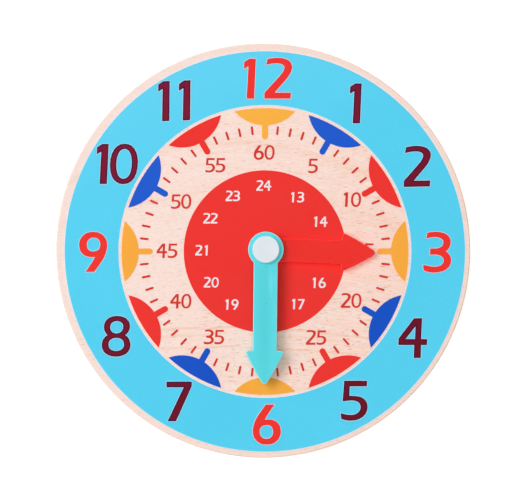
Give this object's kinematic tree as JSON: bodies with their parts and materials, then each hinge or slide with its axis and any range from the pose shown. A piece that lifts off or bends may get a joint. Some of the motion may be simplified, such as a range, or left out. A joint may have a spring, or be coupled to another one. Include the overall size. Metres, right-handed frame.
{
  "type": "teaching clock",
  "caption": "Round printed wooden teaching clock with hour ring, coloured hour marks, 24-hour disc and two arrow hands turned by hand on a snap pivot.",
  "frame": {"origin": "centre of the board's back face, on the surface that the clock lies on", "axes": "+Z out of the dial, +Y to twelve o'clock, +X to three o'clock"},
  "size_m": [0.15, 0.15, 0.0114],
  "materials": {
    "beech_veneer": "sanded, clear matt varnish",
    "core_ply": "cut and sanded edge",
    "sky_blue_ink": "printed ink, satin",
    "red_ink": "printed ink, satin",
    "yellow_ink": "printed ink, satin",
    "royal_blue_ink": "printed ink, satin",
    "red_plastic": "moulded, semi-gloss",
    "turquoise_plastic": "moulded, semi-gloss",
    "white_plastic": "moulded, semi-gloss",
    "nylon": "natural, matt"
  },
  "bodies": {
    "board": {"back_veneer": "beech_veneer", "rear_cross_ply": "core_ply", "middle_ply": "core_ply", "front_cross_ply": "core_ply", "front_veneer": "beech_veneer", "hour_ring": "sky_blue_ink", "day_disc": "red_ink", "minute_ticks": "red_ink", "hour_mark_01": "royal_blue_ink", "hour_mark_02": "red_ink", "hour_mark_03": "yellow_ink", "hour_mark_04": "royal_blue_ink", "hour_mark_05": "red_ink", "hour_mark_06": "yellow_ink", "hour_mark_07": "royal_blue_ink", "hour_mark_08": "red_ink", "hour_mark_09": "yellow_ink", "hour_mark_10": "royal_blue_ink", "hour_mark_11": "red_ink", "hour_mark_12": "yellow_ink", "pivot_pin": "white_plastic", "pivot_socket": "white_plastic", "dial_washer": "nylon", "middle_washer": "nylon"},
    "hour_hand": {"hour_hand": "red_plastic"},
    "minute_hand": {"minute_hand": "turquoise_plastic"}
  },
  "joints": [
    {"name": "hour_hand_turn", "type": "hinge", "parent": "board", "child": "hour_hand", "pos_m": [0.001, 0.0004, 0.0065], "axis": [0, 0, -1], "continuous": true},
    {"name": "minute_hand_turn", "type": "hinge", "parent": "board", "child": "minute_hand", "pos_m": [0.001, 0.0004, 0.0089], "axis": [0, 0, -1], "continuous": true}
  ]
}
